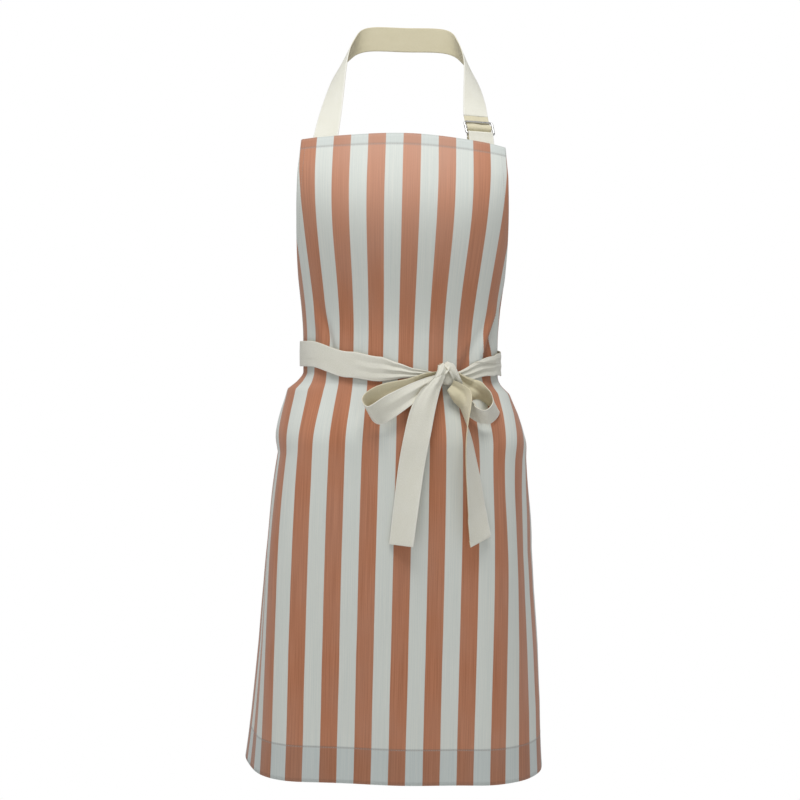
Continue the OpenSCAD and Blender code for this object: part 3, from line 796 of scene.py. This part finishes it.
left_tie = waist_tie(
    "left_waist_tape", 1, KNOT_S + 10,
    [[KNOT_S + 12, KNOT_V], [KNOT_S + 70, SIDE_V + 15], [150, SIDE_V + 12],
     [250, SIDE_V + 5], [WAIST_EDGE + 4, SIDE_V],
     [2 * WAIST_HALF - WAIST_EDGE - 4, CORNER_V]], TAPE_T + 0.5,
    [[KNOT_S + 12, 9], [KNOT_S + 40, 22], [KNOT_S + 67, 27], [KNOT_S + 110, 34],
     [KNOT_S + 150, 35]], 0.4)
right_tie = waist_tie(
    "right_waist_tape", -1, 10 - KNOT_S,
    [[12 - KNOT_S, KNOT_V - 1], [-21, KNOT_V - 3], [0, KNOT_V - 5],
     [25, KNOT_V - 7], [65, KNOT_V - 12], [130, SIDE_V + 4],
     [WAIST_EDGE + 4, SIDE_V], [2 * WAIST_HALF - WAIST_EDGE - 4, CORNER_V]], 0.0,
    [[12 - KNOT_S, 7], [-21, 12], [-2, 21], [22, 33], [60, 35]], 1.9)
print("ties:", left_tie.name, right_tie.name)

# %% [markdown]
# ## Bow
#
# A bow is two loops, two tails and the turn of tape that binds them. Each is a
# tape along a path, with keys measured from the middle of the knot: right, down
# and off the form. Close to the knot every tape is folded on itself.

# %% Band of the bow
def bow_band(name, keys, n, front, **folds):
    """Tape through keys given from the knot: right, down, off the form, the
    direction across in the same three measures, and the share of its width."""
    k = smooth_path([[*key, *([1.0] * (7 - len(key)))] for key in keys], n)
    s, v, d = KNOT_S + k[:, 0], KNOT_V + k[:, 1], k[:, 2]
    middle = on_form(s, v, d)
    across = on_form(s + k[:, 3], v + k[:, 4], d + k[:, 5]) - middle
    return tape_on_path(name, middle, across, k[:, 6] * TAPE_W, front, **folds)


left_loop = bow_band("left_loop_tape", [
    (-11, -1, 5.6, -0.2, -1, 0.1, 0.3), (-27, 6, 6.6, -0.3, -1, 0.1, 0.55),
    (-47, 18, 8.4, -0.4, -1, 0.1, 0.8), (-74, 27, 12, -0.4, -0.9, 0.4, 0.97),
    (-92, 35, 18, -0.35, -0.7, 0.7), (-101, 45, 23, -0.15, -0.55, 0.8),
    (-92, 54, 26, -0.2, -0.6, 0.75), (-73, 43, 23.5, -0.1, -0.9, 0.4, 0.97),
    (-48, 26, 17, -0.15, -1, 0.1, 0.8), (-28, 13, 12.5, -0.25, -1, 0.05, 0.55),
    (-11, 3, 9.5, -0.3, -1, 0, 0.3)], 16, 1, phase=0.5)
right_loop = bow_band("right_loop_tape", [
    (11, -4, 5.4, 0.2, -1, 0.1, 0.28), (23, 6, 6.2, 0.3, -1, 0.15, 0.45),
    (35, 14, 8.5, 0.26, -0.95, 0.26, 0.65), (45, 23, 15, -0.2, -0.55, 0.8, 0.95),
    (54, 31, 20, -0.45, -0.45, 0.77), (60, 40, 23, -0.68, -0.35, 0.63),
    (50, 52, 24.5, -0.57, -0.4, 0.69), (39, 50, 22, -0.5, -0.6, 0.61, 0.97),
    (26, 38, 15.5, -0.19, -0.8, 0.52, 0.75), (17, 25, 11, 0.1, -0.95, 0.2, 0.5),
    (9, 13, 9.3, 0.4, -0.9, 0.05, 0.3)], 16, -1, phase=1.4)
left_tail = bow_band("left_tail_tape", [
    (-12, 0, 18.2, 1, -0.3, 0, 0.5), (-17, 8, 19.8, 1, -0.2, 0, 0.62),
    (-24, 20, 19.6, 1, -0.1, 0, 0.8), (-31, 44, 16, 1, 0, 0, 0.95),
    (-36.5, 78, 9, 1, 0.05, 0.1), (-43, 120, 6.5, 1, 0.08, 0.2),
    (-48, 166, 8.5, 1, 0.08, 0.35), (-53.4, 219.5, 11.4, 1, 0.06, 0.45),
    (-53.9, 224.6, 11.3, 1, 0.06, 0.45), (-54, 225.3, 10.5, 1, 0.06, 0.45),
    (-53.9, 224.6, 9.7, 1, 0.06, 0.45), (-53, 217, 9.6, 1, 0.06, 0.45)], 14, 1,
    pleats=1.0, phase=0.9)
right_tail = bow_band("right_tail_tape", [
    (3, 13, 15.5, -0.35, 0.85, -0.4, 0.5), (9, 18.5, 19, -0.45, 0.7, -0.55, 0.65),
    (16, 26, 22, -0.4, 0.45, -0.8, 0.85), (20.5, 40, 23.5, -0.05, 0.1, -1),
    (24, 60, 22.5, 0.2, 0, -0.98), (28, 82, 21, 0.4, -0.05, -0.9),
    (33, 114, 18.5, 0.57, -0.12, -0.8), (39, 150, 16.5, 0.7, -0.2, -0.68),
    (45.5, 195, 14.2, 0.78, -0.35, -0.5), (48.4, 213, 13.3, 0.83, -0.42, -0.36),
    (49.2, 218, 13, 0.83, -0.42, -0.36), (49.3, 218.7, 12.2, 0.83, -0.42, -0.36),
    (49.2, 218, 11.4, 0.83, -0.42, -0.36), (48, 211, 11.6, 0.83, -0.42, -0.36)],
    14, 1, pleats=1.0, phase=2.3)

# %% [markdown]
# ## Knot
#
# The knot is the same tape again, scrunched to half of its width, over the
# folded tapes that it binds. A rounded core fills the middle, and two bands lie
# over it: the turn that binds the bow, and the start of a tail that folds over.

# %% Knot
turn_band = bow_band("knot_turn_tape", [
    (-3, -13, 3.2, 1, -0.2, 0, 0.42), (-2, -16, 7, 1, -0.2, 0, 0.45),
    (0, -15, 12.5, 1, -0.15, 0, 0.5), (5, -6, 17.2, 1, 0.3, 0, 0.52),
    (10, 3, 17, 1, 0.5, 0.1, 0.5), (14, 10, 12.5, 1, 0.6, 0, 0.45),
    (14, 14, 6.5, 1, 0.6, 0, 0.42), (12, 14, 3.4, 1, 0.6, 0, 0.4)], 12, 1,
    phase=0.3)
over_band = bow_band("knot_over_tape", [
    (-6, -9, 4.5, 1, 0.1, 0, 0.35), (-6, -14, 8, 1, 0, 0, 0.4),
    (-6, -13.5, 13.5, 1, 0, 0, 0.45), (-8, -7, 17.6, 1, -0.2, 0.1, 0.5),
    (-12, 0, 18.6, 1, -0.4, 0.1, 0.55)], 12, 1, phase=2.0)
a, b = np.meshgrid(np.linspace(0, 2 * math.pi, 41)[:-1], np.linspace(0.02, 3.12, 24))
core = on_form(KNOT_S + 1 + 12 * np.sin(b) * np.cos(a), KNOT_V + 12.5 * np.cos(b),
               9.6 + 5.4 * np.sin(b) * np.sin(a))
round_a = np.linspace(0, 0.07, 41)[None, :]
core_uv = np.stack(np.broadcast_arrays(round_a, b[:, :1] * 0.012), -1)
knot_core = mesh_piece("knot_core_tape", core, core_uv, tape_cotton, ring=True)
print("bow:", [p.name for p in (left_loop, right_loop, left_tail, right_tail)])

# %% [markdown]
# ## Stitches
#
# Each stitch is a short length of thread that dips into the cloth at both ends.
# One small shape is repeated at every place along a seam, in one array.

# %% Stitch rows
def stitch_rows(name, lines, long=2.8, pitch=3.4, thick=0.45):
    """Stitches along seam lines. Each line holds points, and the outward
    direction at each. A stitch is a six-sided tube with pointed ends: its radius
    is a half ellipse along it."""
    c, a = np.meshgrid(np.array([-1, -0.8, 0, 0.8, 1]),
                       np.linspace(0, 2 * math.pi, 6, endpoint=False), indexing="ij")
    thin = np.sqrt(np.clip(1.02 - c**2, 0.02, 1)) * thick / 2
    spots, ways, outs = [], [], []
    for points, out in lines:
        far = length_along(points)
        at = np.arange(pitch / 2, far[-1], pitch)
        spot = np.stack([np.interp(at, far, points[:, i]) for i in range(3)], -1)
        ahead = np.stack([np.interp(at + 0.5, far, points[:, i])
                          - np.interp(at - 0.5, far, points[:, i])
                          for i in range(3)], -1)
        spots.append(spot)
        ways.append(unit(ahead))
        outs.append(unit(np.stack([np.interp(at, far, out[:, i])
                                   for i in range(3)], -1)))
    spot, way, out = (np.concatenate(q)[:, None, None] for q in (spots, ways, outs))
    over = np.cross(way, out)
    c, a, thin = c[None, ..., None], a[None, ..., None], thin[None, ..., None]
    points = (spot + way * c * long / 2 + over * thin * np.cos(a)
              + out * (thin * np.sin(a) - 0.25 * c**2))
    count = len(points)
    ring = np.arange(30).reshape(5, 6)
    ring = np.concatenate([ring, ring[:, :1]], 1)
    quads = np.stack([ring[:-1, :-1], ring[:-1, 1:], ring[1:, 1:], ring[1:, :-1]], -1)
    quads = quads.reshape(1, -1, 4) + 30 * np.arange(count)[:, None, None]
    caps = np.stack([ring[0, :6][::-1], ring[4, :6]])[None] + (
        30 * np.arange(count)[:, None, None])
    faces = quads.reshape(-1, 4).tolist() + caps.reshape(-1, 6).tolist()
    mesh = bpy.data.meshes.new(name)
    points = points.reshape(-1, 3) / 1000
    mesh.from_pydata(points.tolist(), [], faces)
    if signed_volume(points, faces) < 0:
        mesh.flip_normals()
    mesh.polygons.foreach_set("use_smooth", np.ones(len(faces), bool))
    mesh.materials.append(thread)
    piece = bpy.data.objects.new(name, mesh)
    bpy.context.scene.collection.objects.link(piece)
    print(name, count, "stitches")
    return piece


def cloth_line(u, v, d):
    """Seam line on the panel: its points, and the directions off the cloth."""
    points = on_cloth(u, v, d)
    return points, on_cloth(u, v, np.asarray(d) + 1) - points


# %% Stitches of the hems
ON_CLOTH = CLOTH + 0.05
u = np.linspace(-1, 1, 400) * (half_at(TOP_HEM) - 3)
top_stitches = stitch_rows("top_hem_stitches",
                           [cloth_line(u, 0 * u + TOP_SEAM, ON_CLOTH)])
u = np.linspace(-1, 1, 600) * (HALF_W - 3)
bottom_stitches = stitch_rows("bottom_hem_stitches",
                              [cloth_line(u, 0 * u + BOTTOM_SEAM, ON_CLOTH)])
last = math.degrees(math.asin((SIDE_V - TAPE_W / 2 - EDGE_SEAM) / BIB_LEN))
angle = np.radians(np.linspace(2, last, 200))
nu, nv = -np.cos(angle) / reach, np.sin(angle) / BIB_LEN
size = np.hypot(nu, nv)
edge_u = HALF_W - reach * np.cos(angle) + nu / size * EDGE_SEAM
edge_v = BIB_LEN * np.sin(angle) + nv / size * EDGE_SEAM
v = np.linspace(CORNER_V + TAPE_W / 2 + 6, PANEL_LEN - 2, 400)
lines = []
for g in (-1, 1):
    lines.append(cloth_line(g * edge_u, edge_v, ON_CLOTH))
    lines.append(cloth_line(g * (HALF_W - EDGE_SEAM) + 0 * v, v, ON_CLOTH))
edge_stitches = stitch_rows("edge_stitches", lines)

# %% Stitches that hold the tapes
t = np.linspace(-1, 1, 30)
box = [(-9 + 0 * t, 12 * t), (9 * t, 12 + 0 * t), (9 + 0 * t, -12 * t),
       (-9 * t, -12 + 0 * t), (9 * t, 12 * t), (9 * t, -12 * t)]
lines = []
for g in (-1, 1):
    for x, z in box:
        s, v = g * (WAIST_EDGE - 16) + x, CORNER_V + z
        points = on_form(s, v, SEAT + TAPE_T + 0.1)
        lines.append((points, on_form(s, v, SEAT + TAPE_T + 1.1) - points))
        s, v = g * STRAP_X + x, 15 + z * 0.95
        back = -4.65 if g < 0 else -6.95
        points = on_form(s, v, back)
        lines.append((points, on_form(s, v, back - 1) - points))
tape_stitches = stitch_rows("tape_end_stitches", lines)

# %% [markdown]
# ## Light and floor
#
# The light is a wide soft box above and in front, with a weaker one from each
# side and an even white surround. The bib faces up to it more than the skirt
# does. The floor is plain and pale, well below the hem, because the apron hangs.

# %% Lights, floor and world
def soft_box(name, at, towards, size, power):
    """Area light that points at a place."""
    light = bpy.data.lights.new(name, "AREA")
    light.shape, light.size, light.size_y = "RECTANGLE", size[0], size[1]
    light.energy = power
    lamp = bpy.data.objects.new(name, light)
    bpy.context.scene.collection.objects.link(lamp)
    away = Matrix.Translation(at).translation - Matrix.Translation(towards).translation
    lamp.matrix_world = (Matrix.Translation(at)
                         @ away.to_track_quat("Z", "Y").to_matrix().to_4x4())
    return lamp


soft_box("key", (-0.2, -1.2, 1.75), (0, -0.1, -0.35), (1.8, 1.1), 45)
soft_box("fill", (1.3, -2.3, 0.3), (0, -0.1, -0.6), (1.8, 1.8), 3)
soft_box("low", (-1.2, -2.4, -0.5), (0, -0.1, -0.8), (1.6, 1.2), 3)

world = bpy.data.worlds.new("studio")
bpy.context.scene.world = world
world.use_nodes = True
tree = world.node_tree
tree.nodes.clear()
seen = node(tree, "LightPath").outputs["Is Camera Ray"]
around = node(tree, "Background", (1, 1, 1, 1), 0.34)
behind = node(tree, "Background", (1, 1, 1, 1), 1.0)
both = node(tree, "MixShader", seen, around.outputs[0], behind.outputs[0])
output = tree.nodes.new("ShaderNodeOutputWorld")
tree.links.new(both.outputs[0], output.inputs["Surface"])

plain, tree, shader = new_material("pale_floor", 0.9)
at = node(tree, "TexCoord").outputs["Object"]
grain = node(tree, "TexNoise", at)
grain.inputs["Scale"].default_value = 3
tree.links.new(mix(tree, grain.outputs[0], (0.86, 0.86, 0.86, 1), (0.9, 0.9, 0.9, 1)),
               shader.inputs["Base Color"])
shader.inputs["Emission Color"].default_value = (1, 1, 1, 1)
shader.inputs["Emission Strength"].default_value = 0.25
FLOOR_HALF, FLOOR_Z = 3.8, -2.3
line = np.linspace(-FLOOR_HALF, FLOOR_HALF, 3)
x, y = np.meshgrid(line, line, indexing="ij")
grid = np.stack([x, y, 0 * x + FLOOR_Z], -1) * 1000
floor = mesh_piece("floor", grid, np.stack([x, y], -1), plain)
if floor.data.polygons[0].normal.z < 0:
    floor.data.flip_normals()
scene = bpy.context.scene
scene.view_settings.view_transform = "Standard"
print("lights are set")

# %% [markdown]
# ## What each piece stands for, and what it moves with
#
# Most pieces ride on a body of the CAD model and stand for its node there.
# The tapes that cross a joint ride on no body: their placement is baked into their
# points.

# %% Riding and standing for
bodies = {
    "apron": [panel, *hems, left_tie, right_tie, turn_band, over_band, knot_core,
              top_stitches, bottom_stitches, edge_stitches, tape_stitches,
              slider_tab],
    "slider": [threaded],
}
for body, pieces in bodies.items():
    for piece in pieces:
        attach(piece, body)
stands_for = {
    panel: ["apron_panel"],
    top_stitches: ["top_hem_thread"],
    bottom_stitches: ["bottom_hem_thread"],
    edge_stitches: ["edge_threads"],
    tape_stitches: ["box_stitches"],
    neck_strap: ["neck_strap"],
    slider_tab: ["slider_tab"],
    threaded: ["strap_in_slider"],
    strap_end: ["strap_free_end"],
    left_tie: ["left_waist_tie"],
    right_tie: ["right_waist_tie"],
    knot_core: ["bow_knot"],
    left_loop: ["left_bow_loop"],
    right_loop: ["right_bow_loop"],
    left_tail: ["left_tie_tail"],
    right_tail: ["right_tie_tail"],
}
stands_for.update({h: [h.name.replace("_fold", "_hem") if "side" in h.name
                       or "armhole" in h.name else h.name.replace("_fold", "")]
                   for h in hems})
for piece, nodes in stands_for.items():
    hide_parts(*nodes)
print(len(stands_for), "pieces stand for CAD nodes")

# %% Baking the tapes that cross the joints
def blend_near(piece, start, end):
    """Bakes a tape's placement into its points. start and end are not used."""
    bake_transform(piece)


def from_knot(x, z, d):
    """Point right of, below and off the middle of the knot."""
    return on_form(KNOT_S + x, KNOT_V + z, d)


blend_near(neck_strap, at_slider(2.6, SLIDER_H + 30),
           at_slider(2.6, SLIDER_H + 13))
blend_near(strap_end, top, top - np.array([0, 0, 8.0]))
blend_near(left_loop, from_knot(-12, 4, 8),
           from_knot(-30, 12, 8))
blend_near(right_loop, from_knot(11, 7, 8),
           from_knot(28, 18, 8))
blend_near(left_tail, from_knot(-14, 0, 18),
           from_knot(-22, 18, 19))
blend_near(right_tail, from_knot(5, 10, 18),
           from_knot(16, 28, 23))


def tape_length(piece):
    """Length of a tape in metres: how far its flat coordinates run along it."""
    uv = np.empty(2 * len(piece.data.loops), np.float32)
    piece.data.uv_layers["flat"].data.foreach_get("uv", uv)
    return round(float(np.ptp(uv[1::2])), 4)


for piece, held, rests_on, bound in (
    (neck_strap, "hung", [panel], []), (slider_tab, "folded", ["slider_frame"], []),
    (threaded, "folded", ["slider_bar"], []), (strap_end, "hung", [threaded], []),
    (left_tie, "gathered", [panel], [turn_band, knot_core]),
    (right_tie, "gathered", [panel], [over_band]),
    (left_loop, "gathered", [knot_core], []),
    (right_loop, "gathered", [knot_core], []),
    (left_tail, "hung", [knot_core], []), (right_tail, "hung", [knot_core], []),
):
    tape_length(piece)

# %% Updating the scene
bpy.context.view_layer.update()
